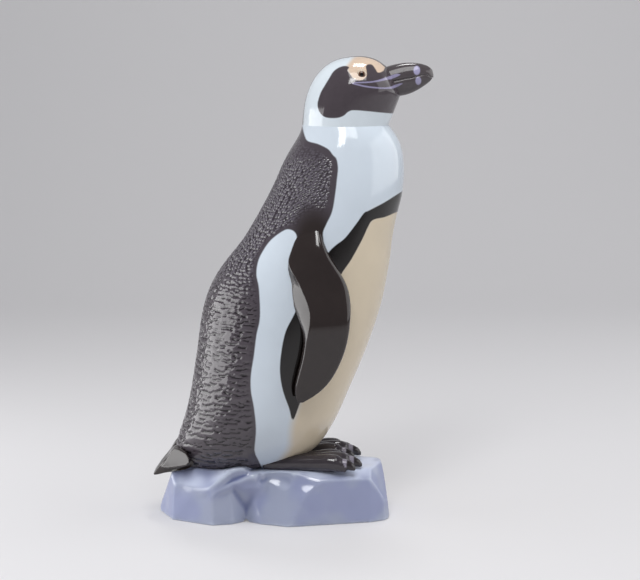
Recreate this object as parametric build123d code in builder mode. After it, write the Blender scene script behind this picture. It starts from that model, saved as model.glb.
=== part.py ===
"""Porcelain penguin figurine on a block of ice, as the pieces that are cast and luted together.

+X is the way the bird faces, +Y is its left, +Z is up. Sizes are in millimetres.
The origin is on the surface that the figure stands on, under the middle of the whole figure.
"""

from build123d import *

import os
from math import cos, radians, sin

os.makedirs("parts", exist_ok=True)

# Ice block: a hollow casting with a closed floor, a foot rim and a drain hole
rock_length = 152.0
rock_depth = 84.0
rock_height = 34.0
rock_center_x = -13.0
rock_wall = 6.0
rock_draft_degrees = 4.0
rim_width = 7.0
rim_recess = 1.5
drain_radius = 6.0
# The ice is three chipped blocks that grow into each other: one under the tail, one under the feet, and a
# saddle that closes the top of the cleft between them. Each has its outline at the foot, as shares of half
# the length and half the depth, then the chips struck off it: a point on each cut, as shares of the half
# length, half depth and height, and the way that the cut faces
rear_outline_shares = (
    (-0.171, -0.476),
    (-0.092, 0.000),
    (-0.092, 0.905),
    (-0.697, 0.881),
    (-0.940, 0.524),
    (-1.000, 0.110),
    (-0.868, -0.464),
    (-0.513, -0.829),
    (-0.342, -0.750),
)
rear_chip_shares = (
    ((-0.632, -0.400, 1.000), (-0.330, -0.680, 0.656)),
    ((-0.874, 0.000, 0.882), (-0.943, 0.000, 0.334)),
    ((-0.550, 0.840, 0.860), (-0.300, 0.660, 0.690)),
)
front_outline_shares = (
    (1.000, -0.340),
    (0.950, 0.450),
    (0.550, 0.880),
    (-0.100, 1.000),
    (-0.510, 0.905),
    (-0.434, 0.000),
    (-0.224, -0.583),
    (-0.105, -0.750),
    (0.138, -0.919),
    (0.840, -0.620),
    (0.960, -0.500),
)
front_chip_shares = (
    ((0.138, -0.919, 0.000), (-0.233, -0.923, 0.305)),
    ((0.460, -0.720, 0.862), (0.126, -0.490, 0.862)),
    ((0.816, -0.595, 0.897), (0.850, -0.280, 0.446)),
    ((0.600, 0.780, 0.860), (0.340, 0.600, 0.720)),
)
saddle_outline_shares = (
    (-0.434, -0.750),
    (-0.066, -0.750),
    (-0.066, 0.000),
    (-0.434, 0.000),
)
saddle_chip_shares = (((-0.237, -0.548, 0.235), (0.000, -0.922, -0.388)),)
rock_blocks = (
    (rear_outline_shares, rear_chip_shares),
    (front_outline_shares, front_chip_shares),
    (saddle_outline_shares, saddle_chip_shares),
)

# Body: horizontal oval sections from the seat on the ice up to the neck seam
body_height = 222.0
body_depth = 113.0
body_width = 98.0
body_center_x = 0.8
body_wall = 5.5
vent_radius = 5.0
# Height, back and front as shares of the body's height and depth, then width as a share of its width
body_section_shares = (
    (0.00, -0.671, -0.045, 0.40),
    (0.06, -0.685, 0.143, 0.70),
    (0.16, -0.629, 0.261, 0.92),
    (0.30, -0.573, 0.378, 1.00),
    (0.40, -0.545, 0.452, 1.00),
    (0.50, -0.503, 0.510, 0.985),
    (0.57, -0.439, 0.536, 0.96),
    (0.64, -0.336, 0.556, 0.93),
    (0.72, -0.231, 0.580, 0.885),
    (0.80, -0.145, 0.616, 0.83),
    (0.87, -0.082, 0.627, 0.765),
    (0.93, -0.021, 0.614, 0.69),
    (0.97, 0.024, 0.579, 0.62),
    (1.00, 0.043, 0.537, 0.56),
)

# Head: horizontal oval sections from the neck seam up to the crown
head_height = 43.8
spigot_height = 6.0
spigot_wall = 3.0
# Height as a share of the head's height, back and front as shares of the neck's depth from its back,
# then width as a share of the neck's width; the neck seam itself comes from the body
head_section_shares = (
    (0.00, 0.000, 1.000, 1.00),
    (0.115, 0.014, 1.052, 1.02),
    (0.232, 0.029, 1.090, 1.04),
    (0.352, 0.046, 1.118, 1.06),
    (0.470, 0.069, 1.116, 1.06),
    (0.589, 0.110, 1.080, 1.03),
    (0.708, 0.168, 1.037, 0.97),
    (0.826, 0.249, 0.990, 0.83),
    (0.915, 0.347, 0.930, 0.62),
    (0.975, 0.485, 0.848, 0.36),
    (1.00, 0.600, 0.760, 0.15),
)
# How far up the head its hollow reaches
hollow_head_share = 0.75

# Eyes: domes set in round seats; their place along the neck's depth, across its half width and up the head
eye_place_shares = (0.680, 0.904, 0.752)
eye_radius = 3.4
eye_inset = 2.0

# Bill: upper and lower halves that meet along the mouth line
bill_length = 25.8
bill_upper_height = 10.6
bill_lower_height = 10.5
bill_width = 17.0
bill_root = 6.0
bill_rise = 4.2
bill_pin_radius = 2.2
bill_pin_length = 5.0
bill_pin_reach = 6.5
# Mouth corner on the face, along the neck's depth and up the head
bill_place_shares = (1.064, 0.633)
# Distance along the bill, height above or below the mouth line, and width, as shares
upper_bill_shares = (
    (0.00, 1.00, 1.00),
    (0.25, 1.00, 0.94),
    (0.49, 0.98, 0.82),
    (0.74, 0.81, 0.68),
    (0.92, 0.55, 0.46),
    (1.00, 0.19, 0.17),
)
lower_bill_shares = (
    (0.00, 0.91, 1.00),
    (0.33, 1.00, 0.90),
    (0.53, 0.97, 0.80),
    (0.74, 0.76, 0.66),
    (0.90, 0.47, 0.44),
    (0.98, 0.24, 0.20),
)

# Flippers: oval sections from the shoulder down to the tip, turned to lie along the flank
flipper_length = 119.0
flipper_chord = 35.5
flipper_thickness = 13.0
flipper_turn_degrees = 13.0
shoulder_height_share = 0.766
flipper_pin_radius = 4.5
flipper_pin_length = 18.0
# Distance down, leading and trailing edge from the body's middle, chord-wise, as shares of the chord,
# then how far the section stands off the flank and its thickness, as shares of the thickness
flipper_section_shares = (
    (0.00, 0.46, 0.18, -1.10, 0.70),
    (0.13, 0.52, 0.06, -0.52, 0.94),
    (0.29, 0.75, -0.13, -0.13, 1.00),
    (0.45, 0.93, -0.06, 0.04, 0.94),
    (0.57, 0.97, 0.09, 0.08, 0.86),
    (0.68, 0.92, 0.16, 0.10, 0.76),
    (0.79, 0.81, 0.12, 0.13, 0.62),
    (0.89, 0.63, 0.03, 0.15, 0.48),
    (0.97, 0.36, 0.00, 0.14, 0.30),
    (1.00, 0.20, 0.06, 0.13, 0.12),
)

# Tail: a flat fan that springs from the lower back and droops over the edge of the ice
tail_length = 20.6
tail_width = 48.0
tail_thickness = 13.0
tail_drop = 16.0
tail_root_height = 12.0
tail_pin_radius = 3.2
tail_pin_length = 16.0
# Distance back, drop, width and thickness as shares
tail_section_shares = (
    (0.00, 0.00, 1.00, 1.00),
    (0.45, 0.24, 0.92, 0.86),
    (0.68, 0.56, 0.80, 0.66),
    (0.92, 0.90, 0.58, 0.42),
    (1.00, 1.00, 0.34, 0.16),
)

# Feet: three thick toes on a web, each with a claw
foot_length = 66.0
foot_height = 12.0
foot_heel_x = -19.0
foot_spacing = 34.0
toe_width = 11.0
toe_spread_degrees = 9.5
web_share = 0.80
web_thickness = 6.5
claw_length = 7.5
claw_width = 4.6
# Distance along the toe, crest height and width, as shares of the foot's length, height and toe's width
toe_section_shares = (
    (0.00, 0.58, 0.80),
    (0.35, 0.66, 0.85),
    (0.70, 0.92, 0.96),
    (0.84, 1.00, 1.00),
    (0.94, 0.80, 0.84),
    (1.00, 0.42, 0.50),
)
toe_rock_share = 0.30
outer_toe_share = 0.90
claw_root_share = 0.60
# Distance past the toe's end, width and height over the ice, as shares
claw_section_shares = (
    (-1.00, 1.00, 1.00),
    (0.00, 1.00, 1.00),
    (1.00, 0.25, 0.45),
)

# Layer of slip in every luted joint, and how far cutting forms run past what they cut
slip_gap = 0.2
overrun = 2.0
quarter_turn = 90
half_turn = 180


def oval(plane, half_x, half_y):
    """An oval section on its plane, as two half arcs, so that a loft through ovals of any shape stays straight."""
    with BuildSketch(plane) as section:
        with BuildLine():
            for start in (quarter_turn, -quarter_turn):
                EllipticalCenterArc((0, 0), half_x, half_y, start, arc_size=half_turn)
        make_face()
    return section.sketch


# Ice block

half_length = rock_length / 2
half_depth = rock_depth / 2


def ice_outline(shares):
    """Corners of a block's outline at the foot."""
    return [(rock_center_x + x * half_length, y * half_depth) for x, y in shares]


def block_form(outline, chips, inset):
    """One chipped block, with every face moved in by the inset, or out where it is negative."""
    with BuildPart() as form:
        with BuildSketch(Plane.XY.offset(inset)):
            with BuildLine():
                Polyline(*ice_outline(outline), close=True)
            make_face()
            if inset:
                offset(amount=-inset, kind=Kind.INTERSECTION)
        extrude(amount=rock_height - 2 * inset, taper=rock_draft_degrees)
        for (x, y, z), faces in chips:
            way = Vector(*faces).normalized()
            spot = Vector(rock_center_x + x * half_length, y * half_depth, z * rock_height)
            split(bisect_by=Plane(origin=spot - way * inset, z_dir=way), keep=Keep.BOTTOM)
    return form.part


def ice_form(inset):
    """The blocks grown together, with every face moved in by the inset."""
    blocks = [block_form(outline, chips, inset) for outline, chips in rock_blocks]
    with BuildPart() as form:
        add(blocks)
    return form.part


body_seat_x = body_center_x + body_depth * sum(body_section_shares[0][1:3]) / 2
ice_block = ice_form(0)
ice_hollow = ice_form(rock_wall)
ice_cutter = ice_form(-slip_gap)

with BuildPart() as rock_base:
    add(ice_block)
    add(ice_hollow, mode=Mode.SUBTRACT)
    # Recess that leaves the foot rim
    with BuildSketch():
        for outline, _ in rock_blocks:
            with BuildLine():
                Polyline(*ice_outline(outline), close=True)
            make_face()
        offset(amount=-rim_width, kind=Kind.INTERSECTION)
    extrude(amount=rim_recess, mode=Mode.SUBTRACT)
    # Drain hole in the floor
    with BuildSketch():
        with Locations((rock_center_x, 0)):
            Circle(drain_radius)
    extrude(amount=rock_wall + overrun, mode=Mode.SUBTRACT)
    # Vent up into the body
    with BuildSketch(Plane.XY.offset(rock_height)):
        with Locations((body_seat_x, 0)):
            Circle(vent_radius)
    extrude(amount=-rock_wall - overrun, mode=Mode.SUBTRACT)
rock_base.part.label = "rock_base"


# Body

neck_z = rock_height + body_height


def stack(sections, start, sizes, growth):
    """A loft through level ovals over a starting point, grown by that much, or drawn in where it is negative.

    Each section is a height, a back, a front and a width, as shares of the sizes.
    """
    tall, deep, wide = sizes
    ovals = []
    for height, back, front, width in sections:
        middle = start + Vector(deep * (back + front) / 2, 0, tall * height)
        ovals.append(oval(Plane(middle), deep * (front - back) / 2 + growth, wide * width / 2 + growth))
    with BuildPart() as form:
        loft(ovals)
    return form.part


body_start = Vector(body_center_x, 0, rock_height)
body_sizes = (body_height, body_depth, body_width)
shoulder_z = rock_height + shoulder_height_share * body_height


def flipper_section(share):
    """Middle X and Y, half chord and half thickness of the right flipper, a share of the way down."""
    down, lead, trail, stand_off, thickness = share
    middle_x = body_center_x + flipper_chord * (lead + trail) / 2
    middle_y = -body_width / 2 - stand_off * flipper_thickness
    return middle_x, middle_y, flipper_chord * (lead - trail) / 2, flipper_thickness * thickness / 2


flipper_pin_x, flipper_pin_y, _, flipper_pin_depth = flipper_section(flipper_section_shares[1])
flipper_pin_z = shoulder_z - flipper_section_shares[1][0] * flipper_length

tail_root_x = body_center_x + body_depth * body_section_shares[2][1]
tail_root_z = rock_height + tail_root_height
tail_pin_x = tail_root_x - tail_section_shares[1][0] * tail_length
tail_pin_z = tail_root_z - tail_section_shares[1][1] * tail_drop

body_solid = stack(body_section_shares, body_start, body_sizes, 0)
body_cutter = stack(body_section_shares, body_start, body_sizes, slip_gap)
# The hollow starts at the second section, above the spread of the belly, so the floor is thick
body_hollow = stack(body_section_shares[1:], body_start, body_sizes, -body_wall)
body_floor = body_section_shares[1][0] * body_height

with BuildPart() as body_shell:
    add(body_solid)
    add(body_hollow, mode=Mode.SUBTRACT)
    # Vent down into the ice block
    with BuildSketch(Plane.XY.offset(rock_height)):
        with Locations((body_seat_x, 0)):
            Circle(vent_radius)
    extrude(amount=body_floor + overrun, mode=Mode.SUBTRACT)
    # Sockets for the flippers' pins, right through both flanks
    with BuildSketch(Plane.XZ):
        with Locations((flipper_pin_x, flipper_pin_z)):
            Circle(flipper_pin_radius + slip_gap)
    extrude(amount=body_width, both=True, mode=Mode.SUBTRACT)
    # Socket for the tail's pin
    with BuildSketch(Plane.YZ.offset(tail_pin_x)):
        with Locations((0, tail_pin_z)):
            Circle(tail_pin_radius + slip_gap)
    extrude(amount=tail_pin_length + slip_gap, mode=Mode.SUBTRACT)
body_shell.part.label = "body_shell"


# Head

neck_back_x = body_center_x + body_depth * body_section_shares[-1][1]
neck_front_x = body_center_x + body_depth * body_section_shares[-1][2]
neck_depth = neck_front_x - neck_back_x
neck_width = body_width * body_section_shares[-1][3]
neck_start = Vector(neck_back_x, 0, neck_z)
head_sizes = (head_height, neck_depth, neck_width)
neck_oval = (neck_depth / 2 - body_wall, neck_width / 2 - body_wall)
neck_x = (neck_back_x + neck_front_x) / 2

eye_along, eye_across, eye_up = eye_place_shares
eye_x = neck_back_x + eye_along * neck_depth
eye_y = eye_across * neck_width / 2 - eye_inset
eye_z = neck_z + eye_up * head_height

bill_along, bill_up = bill_place_shares
mouth_corner = neck_start + Vector(bill_along * neck_depth, 0, bill_up * head_height)
bill_pin_places = ((0, mouth_corner.Z + bill_upper_height / 2), (0, mouth_corner.Z - bill_lower_height / 2))

head_solid = stack(head_section_shares, neck_start, head_sizes, 0)
head_cutter = stack(head_section_shares, neck_start, head_sizes, slip_gap)
hollow_sections = [section for section in head_section_shares if section[0] < hollow_head_share]
head_hollow = stack(hollow_sections, neck_start, head_sizes, -body_wall - spigot_wall)

with BuildPart() as head_shell:
    add(head_solid)
    add(head_hollow, mode=Mode.SUBTRACT)
    with Locations((eye_x, -eye_y, eye_z), (eye_x, eye_y, eye_z)):
        Sphere(eye_radius + slip_gap, mode=Mode.SUBTRACT)
    # Spigot that drops into the neck of the body
    with BuildSketch(Plane.XY.offset(neck_z)):
        with Locations((neck_x, 0)):
            Ellipse(*[radius - slip_gap for radius in neck_oval])
            Ellipse(*[radius - spigot_wall for radius in neck_oval], mode=Mode.SUBTRACT)
    extrude(amount=-spigot_height)
    # Seats for the pins of the two halves of the bill
    with BuildSketch(Plane.YZ.offset(mouth_corner.X - bill_pin_length - slip_gap)):
        with Locations(*bill_pin_places):
            Circle(bill_pin_radius + slip_gap)
    extrude(amount=bill_pin_length + bill_pin_reach, mode=Mode.SUBTRACT)
head_shell.part.label = "head_shell"


# Bill

mouth_way = Vector(1, 0, bill_rise / bill_length)
bill_start = mouth_corner - mouth_way * bill_root


def bill_form(shares, height, way):
    """Half of the bill: half ovals on one side of the mouth line, from inside the head to the tip."""
    with BuildPart() as form:
        for along, tall, wide in shares:
            spot = bill_start + mouth_way * along * (bill_length + bill_root)
            base = way * slip_gap / 2
            half_width = wide * bill_width / 2
            with BuildSketch(Plane(origin=spot, x_dir=(0, 1, 0), z_dir=(1, 0, 0))):
                with BuildLine():
                    EllipticalCenterArc((0, base), half_width, tall * height, 0, arc_size=half_turn * way)
                    Line((-half_width, base), (half_width, base))
                make_face()
        loft()
    return form.part


def bill_half(shares, height, way, pin_place):
    """Half of the bill, trimmed to the head, with its pin."""
    form = bill_form(shares, height, way)
    with BuildPart() as half:
        add(form)
        add(head_cutter, mode=Mode.SUBTRACT)
        with BuildSketch(Plane.YZ.offset(mouth_corner.X - bill_pin_length)):
            with Locations(pin_place):
                Circle(bill_pin_radius)
        extrude(amount=bill_pin_length + bill_pin_reach)
    return half.part


upper_half = bill_half(upper_bill_shares, bill_upper_height, 1, bill_pin_places[0])
lower_half = bill_half(lower_bill_shares, bill_lower_height, -1, bill_pin_places[1])

with BuildPart() as upper_bill:
    add(upper_half)
upper_bill.part.label = "upper_bill"

with BuildPart() as lower_bill:
    add(lower_half)
lower_bill.part.label = "lower_bill"


# Eyes

with BuildPart() as right_eye:
    with Locations((eye_x, -eye_y, eye_z)):
        Sphere(eye_radius)
right_eye.part.label = "right_eye"

with BuildPart() as left_eye:
    mirror(right_eye.part, about=Plane.XZ)
left_eye.part.label = "left_eye"


# Flippers

flipper_along = Vector(cos(radians(flipper_turn_degrees)), sin(radians(flipper_turn_degrees)), 0)

flipper_ovals = []
for share in flipper_section_shares:
    middle_x, middle_y, half_chord, half_thickness = flipper_section(share)
    spot = (middle_x, middle_y, shoulder_z - share[0] * flipper_length)
    plane = Plane(origin=spot, x_dir=flipper_along, z_dir=(0, 0, 1))
    flipper_ovals.append(oval(plane, half_chord, half_thickness))

with BuildPart() as right_flipper:
    loft(flipper_ovals)
    add(body_cutter, mode=Mode.SUBTRACT)
    with BuildSketch(Plane.XZ.offset(flipper_pin_depth / 2 - flipper_pin_y)):
        with Locations((flipper_pin_x, flipper_pin_z)):
            Circle(flipper_pin_radius)
    extrude(amount=-flipper_pin_length)
right_flipper.part.label = "right_flipper"

with BuildPart() as left_flipper:
    mirror(right_flipper.part, about=Plane.XZ)
left_flipper.part.label = "left_flipper"


# Tail

tail_ovals = []
for back, drop, wide, thick in tail_section_shares:
    spot = (tail_root_x - back * tail_length, 0, tail_root_z - drop * tail_drop)
    plane = Plane(origin=spot, x_dir=(0, 1, 0), z_dir=(1, 0, 0))
    tail_ovals.append(oval(plane, wide * tail_width / 2, thick * tail_thickness / 2))

with BuildPart() as tail:
    loft(tail_ovals)
    add(body_cutter, mode=Mode.SUBTRACT)
    add(ice_cutter, mode=Mode.SUBTRACT)
    with BuildSketch(Plane.YZ.offset(tail_pin_x)):
        with Locations((0, tail_pin_z)):
            Circle(tail_pin_radius)
    extrude(amount=tail_pin_length)
tail.part.label = "tail"


# Feet

foot_y = -foot_spacing / 2


def toe_plane(along, height, turn):
    """The plane across a toe, at a distance along it and a height over the ice."""
    way = Vector(cos(radians(turn)), sin(radians(turn)), 0)
    heel = Vector(foot_heel_x, foot_y, rock_height + height)
    return Plane(origin=heel + way * along, x_dir=(-way.Y, way.X, 0), z_dir=way)


def toe_form(length, turn):
    """One toe, rounded over the top and flat on the ice."""
    ovals = []
    for along, crest, wide in toe_section_shares:
        sunk = toe_rock_share * crest * foot_height
        plane = toe_plane(along * length, sunk, turn)
        ovals.append(oval(plane, wide * toe_width / 2, crest * foot_height - sunk))
    with BuildPart() as form:
        loft(ovals)
        split(bisect_by=Plane.XY.offset(rock_height), keep=Keep.TOP)
    return form.part


def claw_form(length, turn):
    """The claw at a toe's end, drooping to the ice."""
    root = toe_section_shares[-1][1] * foot_height * claw_root_share
    ovals = []
    for along, shrink, droop in claw_section_shares:
        radius = claw_width / 2 * shrink
        plane = toe_plane(length + along * claw_length, root * droop, turn)
        ovals.append(oval(plane, radius, min(radius, root * droop)))
    with BuildPart() as form:
        loft(ovals, ruled=True)
    return form.part


toes = [
    (foot_length * outer_toe_share, -toe_spread_degrees),
    (foot_length, 0),
    (foot_length * outer_toe_share, toe_spread_degrees),
]
toe_forms = [toe_form(length - claw_length, turn) for length, turn in toes]
claw_forms = [claw_form(length - claw_length, turn) for length, turn in toes]

with BuildPart() as right_foot:
    add(toe_forms)
    add(claw_forms)
    with BuildSketch(Plane.XY.offset(rock_height)):
        with BuildLine():
            Polyline(
                (foot_heel_x, foot_y),
                *[
                    (
                        foot_heel_x + web_share * length * cos(radians(turn)),
                        foot_y + web_share * length * sin(radians(turn)),
                    )
                    for length, turn in toes
                ],
                close=True,
            )
        make_face()
    extrude(amount=web_thickness)
    add(body_cutter, mode=Mode.SUBTRACT)
right_foot.part.label = "right_foot"

with BuildPart() as left_foot:
    mirror(right_foot.part, about=Plane.XZ)
left_foot.part.label = "left_foot"


pieces = (
    rock_base,
    body_shell,
    head_shell,
    upper_bill,
    lower_bill,
    right_eye,
    left_eye,
    right_flipper,
    left_flipper,
    tail,
    right_foot,
    left_foot,
)
for piece in pieces:
    export_step(piece.part, f"parts/{piece.part.label}.step")
    box = piece.part.bounding_box()
    print(piece.part.label, len(piece.part.solids()), "solids", box.min, box.max)
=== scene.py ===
# %% [markdown]
# # A porcelain penguin on a block of ice
#
# This notebook dresses the CAD model of a slip-cast, glazed porcelain penguin. The CAD gives every
# casting its size and place. Blender adds what a mould maker and a painter add: a modelled skin with
# feather relief, softened edges, underglaze painting and a glossy clear glaze.
# The frame is loaded first, and its castings are kept, hidden, so that their boxes and shapes can be read.

# %% Set-up
import math

import bmesh
import bpy
import numpy as np
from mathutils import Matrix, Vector, noise


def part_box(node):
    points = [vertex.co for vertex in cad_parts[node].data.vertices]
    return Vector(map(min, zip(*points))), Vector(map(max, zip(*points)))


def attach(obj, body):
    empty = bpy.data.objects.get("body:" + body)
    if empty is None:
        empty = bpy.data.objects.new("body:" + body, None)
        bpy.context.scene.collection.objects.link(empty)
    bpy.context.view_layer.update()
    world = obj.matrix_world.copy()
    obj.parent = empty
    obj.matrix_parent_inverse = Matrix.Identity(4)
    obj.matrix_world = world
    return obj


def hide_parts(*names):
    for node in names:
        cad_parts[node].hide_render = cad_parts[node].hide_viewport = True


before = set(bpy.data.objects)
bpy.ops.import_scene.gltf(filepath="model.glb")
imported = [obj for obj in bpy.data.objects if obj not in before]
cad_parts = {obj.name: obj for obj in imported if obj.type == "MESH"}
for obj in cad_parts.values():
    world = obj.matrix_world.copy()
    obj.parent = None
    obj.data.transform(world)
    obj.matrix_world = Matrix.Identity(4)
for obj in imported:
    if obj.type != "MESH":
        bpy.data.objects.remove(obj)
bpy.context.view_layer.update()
MM = 0.001
print("nodes:", sorted(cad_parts))

# %% [markdown]
# ## The camera
#
# The camera comes first, because the painted outlines are read off the photograph in pixels. It is a
# long lens a little over a metre away, level with the bird's crown and tipped down, so the head is seen
# from the side while a little of the ice's top shows. One function gives the pixel of any point.

# %% Camera
PHOTO_WIDTH, PHOTO_HEIGHT = 640, 580
MM_PER_PIXEL = 0.6514
VIEW_DISTANCE = 1240.0
VIEW_RISE = math.radians(8.0)
VIEW_TARGET = np.array((17.4, 0.0, 148.7))
SENSOR_WIDTH = 36.0
CROWN_POINT = (43.0, 0.0, 299.8)

view_forward = np.array((0.0, math.cos(VIEW_RISE), -math.sin(VIEW_RISE)))
view_up = np.array((0.0, math.sin(VIEW_RISE), math.cos(VIEW_RISE)))
view_right = np.array((1.0, 0.0, 0.0))
view_point = VIEW_TARGET - VIEW_DISTANCE * view_forward
focal = VIEW_DISTANCE / MM_PER_PIXEL
photo_middle = np.array((PHOTO_WIDTH / 2, PHOTO_HEIGHT / 2))

camera_data = bpy.data.cameras.new("photo_camera")
camera_data.sensor_width = SENSOR_WIDTH
camera_data.lens = SENSOR_WIDTH * focal / PHOTO_WIDTH
camera = bpy.data.objects.new("photo_camera", camera_data)
camera.location = Vector(view_point * MM)
camera.rotation_euler = (math.pi / 2 - VIEW_RISE, 0.0, 0.0)
bpy.context.scene.collection.objects.link(camera)
bpy.context.scene.camera = camera


def photo_pixels(points):
    """Column and row of the photograph for points in millimetres."""
    seen = np.asarray(points, float) - view_point
    depth = seen @ view_forward
    across, up = seen @ view_right / depth, seen @ view_up / depth
    return photo_middle + focal * np.stack((across, -up), axis=-1)


def on_plane(pixels, side=0.0):
    """Points in millimetres that show at these pixels and lie that far to the side of the bird's middle."""
    across, down = ((np.asarray(pixels, float) - photo_middle) / focal).T
    sight = view_forward + across[:, None] * view_right - down[:, None] * view_up
    reach = (side - view_point[1]) / sight[:, 1]
    return view_point + reach[:, None] * sight


print("lens", round(camera_data.lens, 1), "mm; crown at", photo_pixels(CROWN_POINT).round(1))

# %% [markdown]
# ## Small tools
#
# Most castings are tubes of oval sections, so one function runs a smooth line through a few given
# values, and another skins rings of points. Painting needs the distance of a point from an outline,
# counted as positive inside, and one function adds a shader or geometry node with its settings and links.

# %% Curves and skins
def follow(stations, values, at):
    """Values at new stations, on a smooth line through the given ones."""
    stations = np.asarray(stations, float)
    values = np.asarray(values, float)
    slopes = np.gradient(values, stations, axis=0)
    first = np.clip(np.searchsorted(stations, at) - 1, 0, len(stations) - 2)
    span = stations[first + 1] - stations[first]
    t = (at - stations[first]) / span
    if values.ndim > 1:
        t, span = t[:, None], span[:, None]
    start = (1 + 2 * t) * (1 - t) ** 2 * values[first] + t * (1 - t) ** 2 * span * slopes[first]
    end = t**2 * (3 - 2 * t) * values[first + 1] + t**2 * (t - 1) * span * slopes[first + 1]
    return start + end


def eased(lines, rounds):
    """Lines of values with each one drawn towards its neighbours, several times."""
    for _ in range(rounds):
        lines[1:-1] = (lines[:-2] + 2 * lines[1:-1] + lines[2:]) / 4
    return lines


def skin(name, rings):
    """A closed mesh through rings of points in millimetres, shape (ring, point, 3), with flat ends."""
    count, around = rings.shape[:2]
    mesh_builder = bmesh.new()
    verts = [mesh_builder.verts.new(point) for point in rings.reshape(-1, 3) * MM]
    for ring in range(count - 1):
        for spot in range(around):
            here, after = ring * around + spot, ring * around + (spot + 1) % around
            mesh_builder.faces.new((verts[here], verts[after], verts[after + around], verts[here + around]))
    for end in (verts[:around], verts[-around:]):
        cap = mesh_builder.faces.new(end)
        for edge in cap.edges:
            edge.smooth = False
    bmesh.ops.recalc_face_normals(mesh_builder, faces=mesh_builder.faces)
    for face in mesh_builder.faces:
        face.smooth = True
    return add_mesh(name, mesh_builder)


def add_mesh(name, mesh_builder):
    """A new object at the origin from a bmesh, which is used up."""
    mesh = bpy.data.meshes.new(name)
    mesh_builder.to_mesh(mesh)
    mesh_builder.free()
    made = bpy.data.objects.new(name, mesh)
    bpy.context.scene.collection.objects.link(made)
    return made


def settle(piece):
    """Turns a piece with its modifiers into a plain mesh."""
    evaluated = piece.evaluated_get(bpy.context.evaluated_depsgraph_get())
    mesh = bpy.data.meshes.new_from_object(evaluated)
    piece.modifiers.clear()
    piece.data = mesh
    return piece


def points_of(piece):
    """Vertices of a piece in millimetres."""
    flat = np.empty(len(piece.data.vertices) * 3)
    piece.data.vertices.foreach_get("co", flat)
    return flat.reshape(-1, 3) / MM


def normals_of(piece):
    """Vertex normals of a piece."""
    flat = np.empty(len(piece.data.vertices) * 3)
    piece.data.vertex_normals.foreach_get("vector", flat)
    return flat.reshape(-1, 3)


def move_points(piece, points):
    """Gives a piece's vertices new places in millimetres."""
    piece.data.vertices.foreach_set("co", (points * MM).ravel())
    piece.data.update()


def write_values(piece, name, values, kind="FLOAT", field="value"):
    """Stores one value or vector for each vertex."""
    attribute = piece.data.attributes.new(name, kind, "POINT")
    attribute.data.foreach_set(field, np.ascontiguousarray(values, dtype=np.float32).ravel())


# %% Outlines and nodes
STEPS_PER_SIDE = 6
TINY = 1e-9


def from_side(pixels, start, end):
    """How far pixels lie from a straight side, and at which share of it they are nearest."""
    side = end - start
    share = np.clip((pixels - start) @ side / max(side @ side, TINY), 0, 1)
    return np.linalg.norm(pixels - start - share[:, None] * side, axis=1), share


def inside_by(pixels, outline):
    """Distance in millimetres from a closed outline in pixels, positive inside it."""
    nearest = np.full(len(pixels), np.inf)
    crossings = np.zeros(len(pixels), int)
    x, y = pixels.T
    corners = np.asarray(outline, float)
    for start, end in zip(corners, np.roll(corners, -1, axis=0)):
        nearest = np.minimum(nearest, from_side(pixels, start, end)[0])
        (ax, ay), (bx, by) = start, end
        if ay != by:
            crossings += ((ay > y) != (by > y)) & (x < ax + (y - ay) * (bx - ax) / (by - ay))
    return np.where(crossings % 2 == 1, nearest, -nearest) * MM_PER_PIXEL


def rounded(outline):
    """A closed outline with its corners eased into curves."""
    corners = np.asarray(outline, float)
    looped = np.concatenate((corners[-2:], corners, corners[:3]))
    stations = np.arange(-2, len(corners) + 3)
    at = np.linspace(0, len(corners), STEPS_PER_SIDE * len(corners), endpoint=False)
    return follow(stations, looped, at)


def near_side(piece):
    """Pixels of a piece's vertices, with the far side folded onto the near one."""
    points = points_of(piece)
    points[:, 1] = -np.abs(points[:, 1])
    return photo_pixels(points)


def node(tree, kind, inputs=None, out=0, **settings):
    """Adds a node with its settings, sets or links its inputs, and gives one of its outputs."""
    made = tree.nodes.new(kind)
    for name, value in settings.items():
        setattr(made, name, value)
    for socket, value in (inputs or {}).items():
        if isinstance(value, bpy.types.NodeSocket):
            tree.links.new(value, made.inputs[socket])
        else:
            made.inputs[socket].default_value = value
    return made.outputs[out] if len(made.outputs) else None


def srgb(code):
    """Linear colour of an sRGB hex value."""
    parts = [int(code[i : i + 2], 16) / 255 for i in (1, 3, 5)]
    return tuple(p / 12.92 if p <= 0.04045 else ((p + 0.055) / 1.055) ** 2.4 for p in parts) + (1.0,)


def finish_piece(piece, paint, slot, *nodes):
    """Paints a piece, hangs it on the root and hides the castings that it stands for; the slot is not used.
    """
    piece.data.materials.append(paint)
    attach(piece, "root")
    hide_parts(*nodes)
    print(piece.name, len(piece.data.polygons), "faces")


# %% [markdown]
# ## The body and the head
#
# The real body is cast in a two-part mould and the head is luted on; the seam is sponged away, so both
# share one flowing skin. Each body section is a level oval given by its height, back, front and half
# width. The head's sections fan round the throat, from the level neck seam to the steep face that
# carries the bill, which keeps the rows of points even over the crown.

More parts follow.
